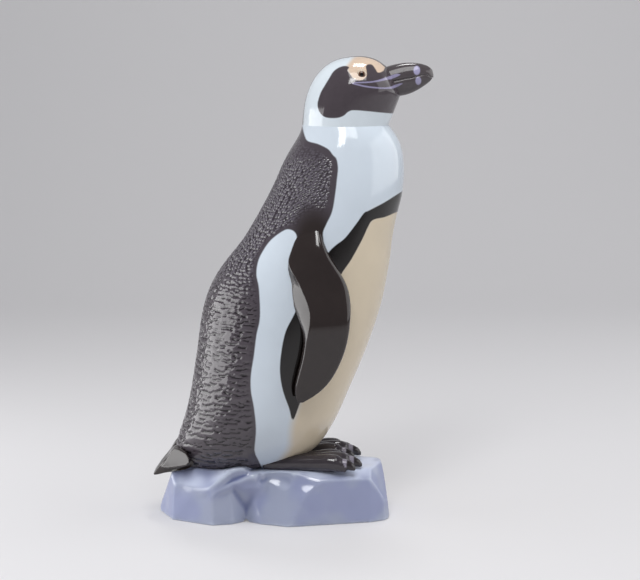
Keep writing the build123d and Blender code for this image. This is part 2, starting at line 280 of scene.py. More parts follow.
# %% Sections of body and head
# Row, back column and front column in pixels, then half width in millimetres
BODY_SECTIONS = (
    (463.5, 181.0, 287.0, 19.0),
    (455.0, 177.5, 304.0, 26.5),
    (447.0, 176.8, 315.5, 32.5),
    (438.0, 178.6, 323.0, 37.8),
    (425.0, 182.8, 331.5, 42.4),
    (410.0, 187.5, 339.5, 45.6),
    (390.0, 192.0, 348.0, 47.8),
    (365.0, 196.0, 359.0, 49.0),
    (340.0, 199.5, 369.0, 49.2),
    (320.0, 202.0, 376.0, 49.0),
    (300.0, 206.3, 382.0, 48.4),
    (285.0, 211.5, 385.2, 47.8),
    (270.0, 219.8, 388.0, 47.0),
    (255.0, 231.0, 390.4, 46.1),
    (240.0, 243.0, 392.0, 45.0),
    (225.0, 252.3, 394.6, 43.8),
    (210.0, 260.8, 398.0, 42.4),
    (195.0, 268.8, 401.8, 40.8),
    (180.0, 276.0, 403.8, 38.9),
    (165.0, 282.3, 404.0, 36.7),
    (150.0, 290.0, 402.2, 34.2),
    (140.0, 296.4, 399.0, 32.2),
    (131.0, 301.0, 393.6, 29.8),
    (124.5, 302.3, 388.5, 27.6),
)
# Back point and front point in pixels, then half width in millimetres
HEAD_SECTIONS = (
    ((302.3, 124.5), (388.5, 124.5), 27.6),
    ((303.3, 112.0), (392.0, 116.5), 27.9),
    ((305.5, 99.0), (394.5, 110.0), 28.3),
    ((310.0, 86.0), (396.3, 105.5), 28.5),
    ((318.5, 72.5), (397.6, 102.0), 28.2),
    ((333.0, 61.0), (398.5, 99.8), 26.6),
    ((350.0, 56.6), (399.0, 98.4), 24.0),
    ((364.0, 56.2), (399.4, 97.4), 20.6),
    ((376.0, 59.2), (399.8, 96.6), 15.6),
    ((386.0, 66.0), (400.3, 96.0), 9.6),
)

# %% Rings and skins
AROUND, BODY_ROWS, HEAD_ROWS = 320, 300, 120
BACK_CROWDING = 0.35
BODY_EASING, HEAD_EASING = 30, 8

even = np.linspace(0, 2 * math.pi, AROUND, endpoint=False)
ring_turn = even + BACK_CROWDING * np.sin(even)


def run_length(points):
    """Distance covered along a line of points."""
    return np.concatenate(((0.0,), np.cumsum(np.linalg.norm(np.diff(points, axis=0), axis=1))))


def ovals(backs, fronts, halves, rows, easing):
    """Rings through sections of back points, front points and half widths, evenly spaced and eased."""
    sections = np.column_stack((backs, fronts, halves))
    stations = run_length(backs)
    lines = eased(follow(stations, sections, np.linspace(0, stations[-1], rows)), easing)
    back_x, back_z, front_x, front_z, wide = lines.T[:, :, None]
    x = (back_x + front_x) / 2 + (front_x - back_x) / 2 * np.cos(ring_turn)
    z = (back_z + front_z) / 2 + (front_z - back_z) / 2 * np.cos(ring_turn)
    return np.stack((x, wide * np.sin(ring_turn), z), axis=-1)


rows, backs, fronts, halves = np.array(BODY_SECTIONS).T
body_rings = ovals(
    on_plane(np.column_stack((backs, rows)))[:, ::2],
    on_plane(np.column_stack((fronts, rows)))[:, ::2],
    halves,
    BODY_ROWS,
    BODY_EASING,
)
backs, fronts, halves = zip(*HEAD_SECTIONS)
head_rings = ovals(on_plane(backs)[:, ::2], on_plane(fronts)[:, ::2], halves, HEAD_ROWS, HEAD_EASING)
body = skin("body", body_rings)
head = skin("head", head_rings)
print("body from", body_rings[0, :, 2].min().round(1), "to", body_rings[-1, :, 2].max().round(1), "mm")

# %% [markdown]
# ## Feather relief on the back
#
# On the real figure the modeller pricked and scratched the back, so the glaze runs off small raised
# dabs and pools dark between them. The dabs are fine specks at the neck and grow down the back to long
# scallops with a dark dash under each. The colours add to this: the specks are painted lighter, partly
# thin glaze and partly painted highlight, and each dash is painted nearly black, partly pooled glaze and
# partly painted shadow under the lip. Each vertex gets its place in feather units: across the back and
# down it, divided by the local feather size. Geometry Nodes then reads a cell pattern there and lifts the
# skin along its normal, only inside the dark back and fading towards its edge. The specks at the neck are
# smaller than the mesh can show, so the material draws those from the same places.

# %% Painted outlines on the body, in pixels of the photograph
BACK_OUTLINE = (
    (297, 112), (301.5, 123), (304.5, 135), (308, 141), (318, 144), (328, 149), (333, 155), (336.5, 159),
    (338, 168), (337, 179), (335, 196), (332, 212), (326.5, 224), (323, 233), (323, 246), (312, 256),
    (299, 246), (296, 234), (290, 229.5), (283, 231), (271, 240), (263, 251), (258, 262), (256.5, 275),
    (259, 289), (260, 317), (256.5, 335), (254, 355), (251, 375), (251, 391), (254, 408), (256, 429),
    (254.5, 450), (253, 480), (130, 480), (130, 300), (230, 130), (280, 98),
)
BAND_OUTLINE = (
    (425, 178), (401, 192), (385, 202), (369, 210.5), (364, 213), (356, 224), (345, 238), (336, 245),
    (328, 253), (316, 270), (304, 292), (294.4, 314), (285.5, 332), (281, 354), (280, 373), (283, 391),
    (289, 408), (293, 420), (300, 403), (309, 380), (319, 340), (330, 300), (341, 275), (351, 260),
    (362, 240), (368, 227), (373, 220), (385, 217), (397, 212), (425, 201),
)
CREAM_OUTLINE = (
    (425, 190), (397, 202), (385, 209), (372, 214), (351, 252), (332, 285), (319, 330), (309, 372),
    (298, 405), (292, 424), (290, 445), (288, 480), (450, 480), (450, 190),
)
SHOULDER_PIXEL, SHOULDER_REACH = (314, 248), (31, 54)

# %% Where each feather lies
# Distance down the back in millimetres, then the width and length of a feather there, or its depth share
FEATHER_SIZES = ((0.0, 2.3, 1.8), (60.0, 2.5, 2.0), (100.0, 3.0, 2.3), (150.0, 6.6, 3.0), (240.0, 7.4, 3.2))
FEATHER_DEPTHS = ((0.0, 0.05), (20.0, 0.12), (50.0, 0.4), (100.0, 0.7), (140.0, 1.0))
RELIEF_MARGINS, RELIEF_FADE = ((295.0, 0.8), (318.0, 3.0)), 4.0
SHOULDER_CALM = 2.5
LAY_MARKS = 400


def write_feather_lay(piece, rings):
    """Stores the place of each vertex on the back, in feathers across and down, and gives its depth."""
    around = rings.shape[1]
    down = run_length(rings[::-1, around // 2])[::-1]
    steps = np.linalg.norm(np.diff(rings, axis=1, append=rings[:, :1]), axis=2)
    run = np.cumsum(steps, axis=1)
    across = run - run[:, around // 2 : around // 2 + 1]
    starts, widths, lengths = np.array(FEATHER_SIZES).T
    marks = np.linspace(0, down.max(), LAY_MARKS)
    counted = np.concatenate(((0.0,), np.cumsum(np.diff(marks) / np.interp(marks[:-1], starts, lengths))))
    lay = np.zeros(rings.shape)
    lay[..., 0] = across / np.interp(down, starts, widths)[:, None]
    lay[..., 1] = np.interp(down, marks, counted)[:, None]
    write_values(piece, "feather_lay", lay.reshape(-1, 3), "FLOAT_VECTOR", "vector")
    return np.repeat(np.interp(down, *np.array(FEATHER_DEPTHS).T), around)


write_values(body, "feather_depth", write_feather_lay(body, body_rings))
body_pixels = near_side(body)
back_edge = inside_by(body_pixels, rounded(BACK_OUTLINE))
from_shoulder = (body_pixels - np.array(SHOULDER_PIXEL)) / np.array(SHOULDER_REACH)
shoulder = np.clip(1.0 - np.linalg.norm(from_shoulder, axis=1), 0, 1)
margin = np.interp(body_pixels[:, 0], *np.array(RELIEF_MARGINS).T)
covered = np.clip((back_edge - margin) / RELIEF_FADE, 0, 1) * np.clip(1 - SHOULDER_CALM * shoulder, 0, 1)
write_values(body, "plumage", covered)
write_values(body, "shoulder", shoulder)
write_values(body, "back_edge", back_edge)
write_values(body, "band_edge", inside_by(body_pixels, rounded(BAND_OUTLINE)))
write_values(body, "cream_edge", inside_by(body_pixels, rounded(CREAM_OUTLINE)))
print("feathered vertices:", int((covered > 0).sum()))

# %% Soft shares and specks
SPECK_JITTER, SPECK_FALL = 0.7, 2.2


def soft_edge(tree, value, softness, edge=0.0):
    """A share that rises over the edge of a value or a stored distance; it falls if softness is negative."""
    if isinstance(value, str):
        value = node(tree, "ShaderNodeAttribute", out="Fac", attribute_name=value)
    ends = {"Value": value, "From Min": edge - softness, "From Max": edge + softness}
    return node(tree, "ShaderNodeMapRange", ends, interpolation_type="SMOOTHSTEP")


def product(tree, first, *others):
    """Several shares multiplied together."""
    for other in others:
        first = node(tree, "ShaderNodeMath", {0: first, 1: other}, operation="MULTIPLY")
    return first


def dots(tree, lay):
    """One small round dab to each feather, highest at its middle."""
    cells = {"Vector": lay, "Scale": 1.0, "Randomness": SPECK_JITTER}
    away = node(tree, "ShaderNodeTexVoronoi", cells, "Distance", voronoi_dimensions="2D")
    square = node(tree, "ShaderNodeMath", {0: away, 1: 2.0}, operation="POWER")
    return node(tree, "ShaderNodeMath", {0: square, 1: -SPECK_FALL, 2: 1.0}, operation="MULTIPLY_ADD")


# %% Relief tree
SWAY_SCALE, SWAY_REACH, FEATHER_JITTER = 0.9, (0.9, 1.1, 0.0), 0.9
LIP_BOW = 0.8

relief = bpy.data.node_groups.new("feather_relief", "GeometryNodeTree")
relief.interface.new_socket("Geometry", in_out="INPUT", socket_type="NodeSocketGeometry")
height_socket = relief.interface.new_socket("Height", in_out="INPUT", socket_type="NodeSocketFloat")
seed_socket = relief.interface.new_socket("Seed", in_out="INPUT", socket_type="NodeSocketFloat")
relief.interface.new_socket("Geometry", in_out="OUTPUT", socket_type="NodeSocketGeometry")
given = node(relief, "NodeGroupInput").node.outputs
lay, depth, cover = (
    node(relief, "GeometryNodeInputNamedAttribute", {"Name": name}, data_type=kind)
    for name, kind in (("feather_lay", "FLOAT_VECTOR"), ("feather_depth", "FLOAT"), ("plumage", "FLOAT"))
)

# Each place sways a little before the cells are read, so that no two feathers are alike
sway = {"Vector": lay, "W": given["Seed"], "Scale": SWAY_SCALE, "Detail": 1.0}
sway = node(relief, "ShaderNodeTexNoise", sway, "Color", noise_dimensions="4D")
sway = node(relief, "ShaderNodeVectorMath", {0: sway, 1: (0.5, 0.5, 0.5)}, operation="SUBTRACT")
swayed = node(relief, "ShaderNodeVectorMath", {0: sway, 1: SWAY_REACH, 2: lay}, operation="MULTIPLY_ADD")
cells = {"Vector": swayed, "Scale": 1.0, "Randomness": FEATHER_JITTER}
middle = node(relief, "ShaderNodeTexVoronoi", cells, "Position", voronoi_dimensions="2D")
within = node(relief, "ShaderNodeVectorMath", {0: swayed, 1: middle}, operation="SUBTRACT")
across, down = node(relief, "ShaderNodeSeparateXYZ", {0: within}).node.outputs[:2]

# A scallop is full height but for a bowed hollow under its lip
aside = node(relief, "ShaderNodeMath", {0: across}, operation="ABSOLUTE")
square = node(relief, "ShaderNodeMath", {0: aside, 1: 2.0}, operation="POWER")
below = node(relief, "ShaderNodeMath", {0: square, 1: LIP_BOW, 2: down}, operation="MULTIPLY_ADD")
lip_start = soft_edge(relief, below, softness=0.09, edge=0.17)
lip_end = soft_edge(relief, below, softness=-0.08, edge=0.54)
lip_sides = soft_edge(relief, aside, softness=-0.12, edge=0.48)
hollow = product(relief, lip_start, lip_end, lip_sides)
scallop = node(relief, "ShaderNodeMath", {0: 1.0, 1: hollow}, operation="SUBTRACT")
coarse = soft_edge(relief, depth, softness=0.175, edge=0.775)
shape = node(relief, "ShaderNodeMix", {"Factor": coarse, 2: dots(relief, lay), 3: scallop})

lift = product(relief, shape, cover, depth, given["Height"])
normal = node(relief, "GeometryNodeInputNormal")
offset = node(relief, "ShaderNodeVectorMath", {0: normal, "Scale": lift}, operation="SCALE")
moved = node(relief, "GeometryNodeSetPosition", {"Geometry": given["Geometry"], "Offset": offset})
kept = {"Geometry": moved, "Name": "relief", "Value": shape}
kept = node(relief, "GeometryNodeStoreNamedAttribute", kept, data_type="FLOAT", domain="POINT")
node(relief, "NodeGroupOutput", {0: kept})

# %% Relief on the body
RELIEF_HEIGHT, RELIEF_SEED = 0.7, 3.0
dabs = body.modifiers.new("feather_relief", "NODES")
dabs.node_group = relief
dabs[height_socket.identifier] = RELIEF_HEIGHT * MM
dabs[seed_socket.identifier] = RELIEF_SEED
settle(body)
print("body faces after relief:", len(body.data.polygons))

# %% [markdown]
# ## The painted face
#
# The head's painting is a white hood, a dark face mask that runs from the brow round the cheek to the
# throat, bare pink skin between eye and bill, and two lilac lines where the corners of the mouth open.
# The outlines are read off the photograph for the near side and folded over to the far side. The dark
# strip over the crown is seen only edge-on, so it is set by its half width instead.

# %% Outlines on the head, in pixels of the photograph
MASK_OUTLINE = (
    (349, 67), (344, 66), (338, 68), (333, 72), (329, 78.5), (325, 85), (321, 92), (318.5, 99), (317.5, 105),
    (319, 111), (323, 116), (329, 118), (338, 117.8), (344, 115.5), (348, 112), (353, 110.3), (365, 111),
    (380, 112.5), (394, 113.5), (404, 113), (412, 96), (412, 60), (388, 66), (383, 71), (378, 72.5),
    (375.5, 69), (372.5, 65), (369, 64.2), (366, 66), (366.5, 71), (366.5, 76), (363, 79.5), (358, 80.3),
    (353.5, 78.5), (350, 74), (347.5, 70.5),
)
SKIN_OUTLINE = (
    (348, 63), (356, 55), (372, 53), (388, 60), (386, 71), (382, 76), (372, 80), (362, 82), (353, 80),
    (348.5, 74), (346, 67),
)
UPPER_GAPE = (
    (352, 83.3, 0.3), (357, 82.6, 0.45), (364, 82.4, 0.45), (371, 82, 0.45), (378, 80.8, 0.55),
    (385, 79, 0.8), (392, 77, 1.1), (397, 75.2, 0.9), (400, 74.6, 0.3),
)
LOWER_GAPE = (
    (353, 83.8, 0.3), (359, 85, 0.45), (366, 86.5, 0.5), (375, 87.6, 0.5), (385, 88.2, 0.5), (391, 87.6, 0.7),
    (396, 86, 0.9), (400, 84.3, 0.6), (402.5, 83.4, 0.25),
)
CROWN_HALF_WIDTHS = ((0.0, 6.0), (14.0, 3.6), (40.0, 3.0), (60.0, 5.0), (72.0, 6.6), (86.0, 7.5))
FAR_OUTSIDE = -9.0


def off_line(pixels, line):
    """Distance in millimetres outside a line of pixels with a half width at each point, negative on it."""
    nearest = np.full(len(pixels), np.inf)
    dense = follow(np.arange(len(line)), line, np.linspace(0, len(line) - 1, STEPS_PER_SIDE * len(line)))
    for start, end in zip(dense[:-1], dense[1:]):
        distance, share = from_side(pixels, start[:2], end[:2])
        half = start[2] + share * (end[2] - start[2])
        nearest = np.minimum(nearest, distance * MM_PER_PIXEL - half)
    return nearest


def off_gape(pixels):
    """Distance in millimetres outside the two lilac lines of the mouth."""
    return np.minimum(off_line(pixels, UPPER_GAPE), off_line(pixels, LOWER_GAPE))


head_pixels = near_side(head)
for name, outline in (("back_edge", BACK_OUTLINE), ("mask_edge", MASK_OUTLINE), ("skin_edge", SKIN_OUTLINE)):
    edge = inside_by(head_pixels, rounded(outline))
    write_values(head, name, edge)
    print(name, "vertices inside:", int((edge > 0).sum()))
write_values(head, "gape", off_gape(head_pixels))
crown_run = run_length(head_rings[:, AROUND // 2])
half_strip = np.interp(crown_run, *np.array(CROWN_HALF_WIDTHS).T)
strip_edge = half_strip[:, None] - np.abs(head_rings[..., 1])
write_values(head, "crown_edge", np.where(np.cos(ring_turn) < 0, strip_edge, FAR_OUTSIDE))

# %% [markdown]
# ## The glaze
#
# Porcelain is painted under a clear glaze and fired, so every colour has the same hard, wet gloss.
# The shader is a dielectric with an index of 1.5 and a low roughness. A very shallow waviness, some
# nine millimetres from crest to crest, bends the reflections of the studio lights as a dipped glaze
# does. Each painted edge is the distance that was stored on the vertices, turned into a soft step.

# %% Glaze material
PORCELAIN_IOR = 1.5
GLAZE_ROUGHNESS = 0.09
WAVE_SIZE, WAVE_HEIGHT = 9.0, 0.05


def glaze(name, roughness=GLAZE_ROUGHNESS):
    """A glazed porcelain material, its tree, its shader and the place that its patterns read."""
    material = bpy.data.materials.new(name)
    material.use_nodes = True
    tree = material.node_tree
    tree.nodes.clear()
    surface = node(tree, "ShaderNodeBsdfPrincipled", {"Roughness": roughness, "IOR": PORCELAIN_IOR})
    place = node(tree, "ShaderNodeTexCoord", out="Object")
    wave = {"Vector": place, "Scale": 1 / (WAVE_SIZE * MM), "Detail": 1.0}
    wave = node(tree, "ShaderNodeTexNoise", wave, "Fac")
    bump = node(tree, "ShaderNodeBump", {"Height": wave, "Distance": WAVE_HEIGHT * MM})
    tree.links.new(bump, surface.node.inputs["Normal"])
    node(tree, "ShaderNodeOutputMaterial", {"Surface": surface})
    return material, tree, surface.node, place


# Sockets 6 and 7 of a Mix node are its two colours, and output 2 is the mixed one
def mottled(tree, place, colour, spread, size):
    """A colour that varies a little from place to place, as brushed underglaze does."""
    patch = {"Vector": place, "Scale": 1 / (size * MM), "Detail": 3.0}
    patch = node(tree, "ShaderNodeTexNoise", patch, "Fac")
    dark = tuple(part * (1 - spread) for part in colour[:3]) + (1.0,)
    light = tuple(min(part * (1 + spread), 1.0) for part in colour[:3]) + (1.0,)
    return node(tree, "ShaderNodeMix", {"Factor": patch, 6: dark, 7: light}, 2, data_type="RGBA")


def painted(tree, ground, paint, value, softness, edge=0.0):
    """A ground with a paint laid over it where a value or a stored distance is past its soft edge."""
    share = soft_edge(tree, value, softness, edge)
    return node(tree, "ShaderNodeMix", {"Factor": share, 6: ground, 7: paint}, 2, data_type="RGBA")


# %% Plumage of the body
BREAST_WHITE, BELLY_CREAM = srgb("#D2DCE6"), srgb("#D8CAB2")
BACK_SMOOTH, BACK_POOL_AND_SHADOW, BACK_RAISED = srgb("#4C464C"), srgb("#1F1A1E"), srgb("#504A50")
SPECK_POOL_AND_SHADE, SPECK_THIN_GLAZE_AND_HIGHLIGHT = srgb("#3A343B"), srgb("#656069")
SHOULDER_DARK, BAND_BLACK = srgb("#2F2827"), srgb("#120E0D")
SPECK_HEIGHT = 0.4

# Underglaze brushed on porcelain, then glazed: flat colours with soft edges below a wet shine
plumage_paint, tree, shader, place = glaze("porcelain_underglaze_plumage")
white = mottled(tree, place, BREAST_WHITE, spread=0.03, size=14.0)
cream = mottled(tree, place, BELLY_CREAM, spread=0.05, size=16.0)
ground = painted(tree, white, cream, "cream_edge", softness=4.0)
ground = painted(tree, ground, BAND_BLACK, "band_edge", softness=0.4)

# Specks near the neck, where the mesh is too coarse for them, and scallops lower down
deep_enough = soft_edge(tree, "feather_depth", softness=0.1, edge=0.12)
feathered = product(tree, soft_edge(tree, "plumage", softness=0.4, edge=0.4), deep_enough)
specks = dots(tree, node(tree, "ShaderNodeAttribute", out="Vector", attribute_name="feather_lay"))
# Raised specks painted lighter and the ground between them darker: thin and pooled glaze, partly painted
# highlight and painted shade
specked = painted(tree, SPECK_POOL_AND_SHADE, SPECK_THIN_GLAZE_AND_HIGHLIGHT, specks, softness=0.225, edge=0.725)
# The hollow under each scallop's lip is painted nearly black: pooled glaze, partly painted shadow
back = painted(tree, BACK_POOL_AND_SHADOW, BACK_RAISED, "relief", softness=0.4, edge=0.45)
back = painted(tree, specked, back, "feather_depth", softness=0.17, edge=0.78)
back = node(tree, "ShaderNodeMix", {"Factor": feathered, 6: BACK_SMOOTH, 7: back}, 2, data_type="RGBA")
back = painted(tree, back, SHOULDER_DARK, "shoulder", softness=0.3, edge=0.3)
tree.links.new(painted(tree, ground, back, "back_edge", softness=0.5), shader.inputs["Base Color"])

fine = soft_edge(tree, "feather_depth", softness=-0.17, edge=0.78)
pricks = {"Height": product(tree, specks, feathered, fine), "Distance": SPECK_HEIGHT * MM}
pricks["Normal"] = shader.inputs["Normal"].links[0].from_socket
tree.links.new(node(tree, "ShaderNodeBump", pricks), shader.inputs["Normal"])
finish_piece(body, plumage_paint, "plumage_glaze", "body_shell")

# %% Face and hood
HOOD_WHITE, MASK_DARK = srgb("#D8E1E8"), srgb("#4A4348")
SKIN_PINK, GAPE_LILAC, CROWN_DARK = srgb("#D4BDA8"), srgb("#918CAA"), srgb("#332D2E")

# The same underglaze in thinner strokes: crisp mask, and a pink that is breathed on with a soft edge
face_paint, tree, shader, place = glaze("porcelain_underglaze_face")
white = mottled(tree, place, HOOD_WHITE, spread=0.03, size=10.0)
dark = mottled(tree, place, MASK_DARK, spread=0.12, size=4.0)
face = painted(tree, white, SKIN_PINK, "skin_edge", softness=1.6, edge=0.5)
face = painted(tree, face, dark, "mask_edge", softness=0.4)
in_mask = soft_edge(tree, "mask_edge", softness=0.4)
lilac = product(tree, soft_edge(tree, "gape", softness=-0.25), in_mask)
face = node(tree, "ShaderNodeMix", {"Factor": lilac, 6: face, 7: GAPE_LILAC}, 2, data_type="RGBA")
face = painted(tree, face, CROWN_DARK, "crown_edge", softness=0.8)
face = painted(tree, face, BACK_SMOOTH, "back_edge", softness=0.8)
tree.links.new(face, shader.inputs["Base Color"])
finish_piece(head, face_paint, "plumage_glaze", "head_shell")

# %% [markdown]
# ## The flippers
#
# A flipper is a solid casting, pinned to the shoulder and laid along the flank. Its face is nearly flat
# and rolls off tightly at the edges, so each section is a squared oval. Behind the face runs a ridge,
# and from it a bevel falls to the trailing edge and catches the light. The sections turn as they go
# down: the top ones start inside the shoulder and look a little back, the lower ones look forward. The
# left flipper is the same rings with Y turned round.

# %% Flipper sections
# Row; columns of the leading edge, the ridge and the trailing edge; then, in millimetres and degrees,
# how far the section stands off the body, its half thickness and its turn
FLIPPER_SECTIONS = (
    (216.0, 320.0, 301.0, 301.0, -8.4, 5.0, -12.0),
    (236.0, 323.0, 297.0, 297.0, -5.0, 5.2, -12.0),
    (248.0, 326.0, 293.0, 293.0, -3.0, 5.4, -11.0),
    (262.0, 333.0, 288.4, 288.0, -1.8, 5.6, -6.0),
    (270.0, 338.0, 290.5, 286.6, -1.2, 5.8, -1.0),
    (280.0, 344.0, 297.0, 286.6, -0.3, 6.0, 4.0),
    (291.0, 348.0, 302.0, 288.2, 1.4, 6.2, 8.0),
    (307.0, 350.0, 308.5, 294.0, 5.4, 6.2, 10.0),
    (320.0, 349.3, 309.0, 299.0, 8.4, 6.0, 12.0),
    (335.0, 347.5, 305.8, 303.5, 9.6, 5.6, 13.0),
    (350.0, 344.2, 303.6, 303.0, 9.2, 5.0, 13.0),
    (365.0, 338.5, 300.5, 300.0, 8.6, 4.4, 13.0),
    (378.0, 331.5, 297.0, 296.8, 8.0, 3.8, 13.0),
    (389.0, 322.5, 295.0, 295.0, 7.6, 3.0, 13.0),
    (397.0, 312.0, 295.8, 295.8, 7.3, 2.2, 13.0),
    (402.0, 303.0, 297.5, 297.5, 7.0, 0.9, 13.0),
)
FLIPPER_ROWS, FLIPPER_AROUND, FLIPPER_EASING = 160, 144, 12
FLIPPER_SIDE = -50.0
LEADING_BLUNTNESS, FACE_FLATNESS = 0.1, 4.5
BEVEL_WIDTH, LEAST_BEVEL_SHARE = 8.0, 0.01


def mirrored(points, way):
    """Points as they are, or with their sides turned round for a left piece."""
    return points * np.array((1, way, 1))


def body_side(x, z):
    """How far out the body's skin is at places given by x and height."""
    heights = body_rings[:, AROUND // 4, 2]
    back, front = (np.interp(z, heights, body_rings[:, spot, 0]) for spot in (AROUND // 2, 0))
    wide = np.interp(z, heights, body_rings[..., 1].max(axis=1))
    off_middle = (x - (back + front) / 2) / ((front - back) / 2)
    return wide * np.sqrt(np.clip(1 - off_middle**2, 0, 1))


def lens(share):
    """Half thickness of a flipper along its chord, from minus one at the trailing edge to one."""
    round_off = np.clip(1 - np.abs(share) ** FACE_FLATNESS, 0, 1) ** (1 / FACE_FLATNESS)
    return round_off * (1 + LEADING_BLUNTNESS * share)


# %% Flipper rings
rows, *edges, stand_off, thick, twist = np.array(FLIPPER_SECTIONS).T
lead, ridge, trail = (on_plane(np.column_stack((edge, rows)), FLIPPER_SIDE) for edge in edges)
tall = lead[:, 2]
side = -body_side((lead[:, 0] + trail[:, 0]) / 2, tall) - stand_off
sections = np.column_stack((tall, lead[:, 0], ridge[:, 0], trail[:, 0], side, thick, np.radians(twist)))
lines = follow(run_length(sections[:, :1]), sections, np.linspace(0, tall[0] - tall[-1], FLIPPER_ROWS))
tall, lead, ridge, trail, side, thick, twist = eased(lines, FLIPPER_EASING).T[:, :, None]
turn = np.linspace(0, 2 * math.pi, FLIPPER_AROUND, endpoint=False)[None, :]
share, face = np.cos(turn), np.where(np.sin(turn) < 0, -1.0, 1.0)
ridge_share = np.clip((ridge - trail) / (lead - trail) * 2 - 1, -1, 1)
past_ridge = np.clip((ridge_share - share) / np.maximum(ridge_share + 1, LEAST_BEVEL_SHARE), 0, 1)
tucked = np.clip((ridge - trail) / BEVEL_WIDTH, 0, 1)
depth = thick * (face * lens(np.maximum(share, ridge_share)) * (1 - past_ridge) + tucked * past_ridge)
chord = (lead - trail) / 2 * share
flipper_x = (lead + trail) / 2 + chord - (1 - past_ridge) * depth * np.sin(twist)
flipper_y = side + chord * np.tan(twist) + depth * np.cos(twist)
flipper_rings = np.stack((flipper_x, flipper_y, tall + 0 * turn), axis=-1)
print("flipper from", tall.min().round(1), "to", tall.max().round(1), "mm")

# %% Flippers
# One dark underglaze wash under clear glaze: nearly black, so the studio's soft boxes draw the form
flipper_paint, tree, shader, place = glaze("porcelain_underglaze_flipper")
dark = mottled(tree, place, SHOULDER_DARK, spread=0.1, size=6.0)
tree.links.new(dark, shader.inputs["Base Color"])
for name, way in (("right_flipper", 1), ("left_flipper", -1)):
    flipper = skin(f"{name}_skin", mirrored(flipper_rings, way))
    finish_piece(flipper, flipper_paint, "flipper_glaze", name)

# %% [markdown]
# ## The bill
#
# The bill is two solid halves that close along the mouth line, deep at the face and hooked at the tip.
# Each half is a stack of half ovals. A lilac bar crosses it near the tip, painted as the mask was.

# %% Halves of the bill
BILL_TOP = (
    (382.0, 67.5), (387.0, 66.4), (392.0, 65.0), (400.0, 63.4), (408.0, 62.6), (416.0, 62.9), (423.0, 64.2),
    (428.0, 66.2), (431.0, 68.6), (432.7, 71.4), (433.3, 74.0),
)
BILL_MOUTH = (
    (382.0, 81.0), (390.0, 81.0), (396.0, 80.2), (404.0, 78.4), (412.0, 77.2), (420.0, 75.2), (425.0, 74.6),
    (428.5, 75.4), (431.0, 77.0), (433.3, 77.6),
)
BILL_BOTTOM = (
    (382.0, 97.0), (392.0, 96.6), (400.0, 96.0), (410.0, 93.6), (418.0, 89.8), (424.0, 86.0), (428.5, 82.6),
    (431.0, 80.2), (432.0, 78.8),
)
BILL_HALF_WIDTHS = (
    (382.0, 9.4), (392.0, 8.8), (400.0, 8.0), (410.0, 6.8), (420.0, 5.6), (427.0, 4.3), (431.0, 3.0),
    (433.3, 1.2),
)
BILL_ROWS, ARC_POINTS, FLOOR_POINTS = 80, 48, 24
LEAST_HEIGHT, LEAST_HALF_WIDTH = 0.3, 0.4
MOUTH_GAP = 0.05
LIP_DEPTH, LIP_HEIGHT = 0.1, 0.7


def bill_half(name, edge, way):
    """One half: an arc over the mouth line, or under it, and a flat floor along it."""
    columns = np.linspace(edge[0][0], edge[-1][0], BILL_ROWS)

    def line(points):
        stations, values = np.array(points).T
        return follow(stations, values, columns)

    rim = on_plane(np.column_stack((columns, line(edge))))
    mouth = on_plane(np.column_stack((columns, line(BILL_MOUTH))))
    base = mouth[:, 2:] + way * MOUTH_GAP
    tall = np.maximum(way * (rim[:, 2:] - base), LEAST_HEIGHT)
    wide = np.maximum(line(BILL_HALF_WIDTHS), LEAST_HALF_WIDTH)[:, None]
    arc = np.linspace(0, math.pi, ARC_POINTS)
    floor = np.linspace(-1, 1, FLOOR_POINTS + 2)[1:-1]
    rise = np.concatenate((np.sin(arc), 0 * floor))[None, :] * tall
    lip = 1 - LIP_DEPTH * np.exp(-((rise / LIP_HEIGHT) ** 2))
    across = np.concatenate((np.cos(arc), floor))[None, :] * wide * lip
    return skin(name, np.stack((rim[:, :1] + 0 * across, across, base + rise * way), axis=-1))


# %% Bill
# Column, row, half width and half height of the bar's two spots; then the groove between two horn plates,
# drawn as a line of painted shade
BAR_SPOTS = ((416.8, 70.4, 3.3, 4.6), (418.3, 80.8, 2.9, 4.0))
PLATE_LINE = ((401.0, 72.5, 0.15), (405.0, 69.5, 0.18), (409.0, 66.0, 0.18), (411.0, 63.5, 0.15))
HORN_DARK, PLATE_GROOVE_SHADE, BAR_LILAC = srgb("#4E484B"), srgb("#231E20"), srgb("#A29EBE")

# Underglaze in streaks like horn, under the same clear glaze: dark, uneven and wet
horn_paint, tree, shader, place = glaze("porcelain_underglaze_bill")
horn = mottled(tree, place, HORN_DARK, spread=0.15, size=3.0)
# Painted shade along the groove between two horn plates
horn = painted(tree, horn, PLATE_GROOVE_SHADE, "plate_line", softness=-0.2)
horn = painted(tree, horn, GAPE_LILAC, "gape", softness=-0.25)
horn = painted(tree, horn, BAR_LILAC, "bar_edge", softness=0.4)
tree.links.new(horn, shader.inputs["Base Color"])
for name, edge, way in (("upper_bill", BILL_TOP, 1), ("lower_bill", BILL_BOTTOM, -1)):
    half = bill_half(f"{name}_skin", edge, way)
    pixels = near_side(half)
    bar_edge = np.full(len(pixels), FAR_OUTSIDE)
    for column, row, half_wide, half_tall in BAR_SPOTS:
        reach = np.hypot((pixels[:, 0] - column) / half_wide, (pixels[:, 1] - row) / half_tall)
        bar_edge = np.maximum(bar_edge, (1 - reach) * half_wide * MM_PER_PIXEL)
    write_values(half, "bar_edge", bar_edge)
    write_values(half, "gape", off_gape(pixels))
    write_values(half, "plate_line", off_line(pixels, PLATE_LINE))
    finish_piece(half, horn_paint, "horn_glaze", name)

# %% [markdown]
# ## The eyes
#
# Each eye is a small dome, dark brown with a black pupil and a pale rim, and its gloss gives the bird
# its look. The rings are a full ball about the CAD eye's middle, and pupil and rim are painted by the
# distance from the eye's own axis.

